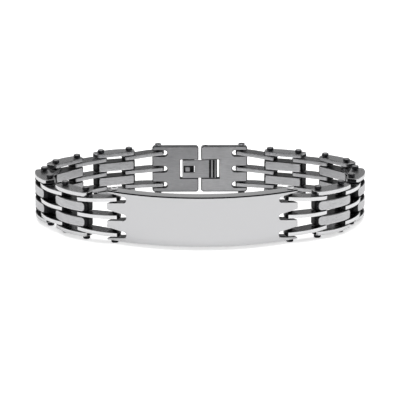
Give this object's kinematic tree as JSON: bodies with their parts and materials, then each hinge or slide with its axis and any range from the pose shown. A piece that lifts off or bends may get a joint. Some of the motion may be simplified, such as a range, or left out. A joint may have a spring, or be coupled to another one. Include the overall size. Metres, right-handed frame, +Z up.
{
  "type": "id bracelet",
  "caption": "Steel id bracelet: a curved bare name plate, rows of pinned stamped links in the style of a bicycle chain, and a flat clasp with a hinged lever.",
  "frame": {"origin": "middle of the loop, on the surface the bracelet stands on", "axes": "+X along the name plate, towards the side whose clasp plate carries the lever's hinge; +Y from the name plate to the clasp; +Z up, along the pins and along the wrist"},
  "size_m": [0.0875, 0.0582, 0.0145],
  "materials": {
    "name_plate_steel": "polished stainless steel",
    "narrow_link_steel": "polished stainless steel",
    "outer_plate_steel": "polished stainless steel",
    "wide_bar_steel": "satin stainless steel with polished rims",
    "clasp_steel": "satin stainless steel",
    "lever_steel": "satin stainless steel",
    "pin_steel": "turned stainless steel, darker than the links"
  },
  "bodies": {
    "bracelet": {"id_plate": "name_plate_steel", "left_narrow_link_1": "narrow_link_steel", "left_narrow_link_2": "narrow_link_steel", "left_narrow_link_3": "narrow_link_steel", "left_narrow_link_4": "narrow_link_steel", "left_narrow_link_5": "narrow_link_steel", "right_narrow_link_1": "narrow_link_steel", "right_narrow_link_2": "narrow_link_steel", "right_narrow_link_3": "narrow_link_steel", "right_narrow_link_4": "narrow_link_steel", "right_narrow_link_5": "narrow_link_steel", "left_wide_bars_1": "wide_bar_steel", "left_wide_bars_2": "wide_bar_steel", "left_wide_bars_3": "wide_bar_steel", "left_wide_bars_4": "wide_bar_steel", "right_wide_bars_1": "wide_bar_steel", "right_wide_bars_2": "wide_bar_steel", "right_wide_bars_3": "wide_bar_steel", "right_wide_bars_4": "wide_bar_steel", "left_outer_plates_1": "outer_plate_steel", "left_outer_plates_2": "outer_plate_steel", "left_outer_plates_3": "outer_plate_steel", "left_outer_plates_4": "outer_plate_steel", "right_outer_plates_1": "outer_plate_steel", "right_outer_plates_2": "outer_plate_steel", "right_outer_plates_3": "outer_plate_steel", "right_outer_plates_4": "outer_plate_steel", "left_pin_1": "pin_steel", "left_pin_2": "pin_steel", "left_pin_3": "pin_steel", "left_pin_4": "pin_steel", "left_pin_5": "pin_steel", "left_pin_6": "pin_steel", "left_pin_7": "pin_steel", "left_pin_8": "pin_steel", "left_pin_9": "pin_steel", "left_pin_10": "pin_steel", "right_pin_1": "pin_steel", "right_pin_2": "pin_steel", "right_pin_3": "pin_steel", "right_pin_4": "pin_steel", "right_pin_5": "pin_steel", "right_pin_6": "pin_steel", "right_pin_7": "pin_steel", "right_pin_8": "pin_steel", "right_pin_9": "pin_steel", "right_pin_10": "pin_steel", "clasp_catch_plate": "clasp_steel", "clasp_hinge_plate": "clasp_steel", "clasp_hinge_pin": "pin_steel"},
    "lever": {"clasp_lever": "lever_steel"}
  },
  "joints": [
    {"name": "lever_hinge", "type": "hinge", "parent": "bracelet", "child": "lever", "pos_m": [0.00385, 0.02348, 0.00745], "axis": [0, 0, 1], "range_deg": [0, 105]}
  ]
}
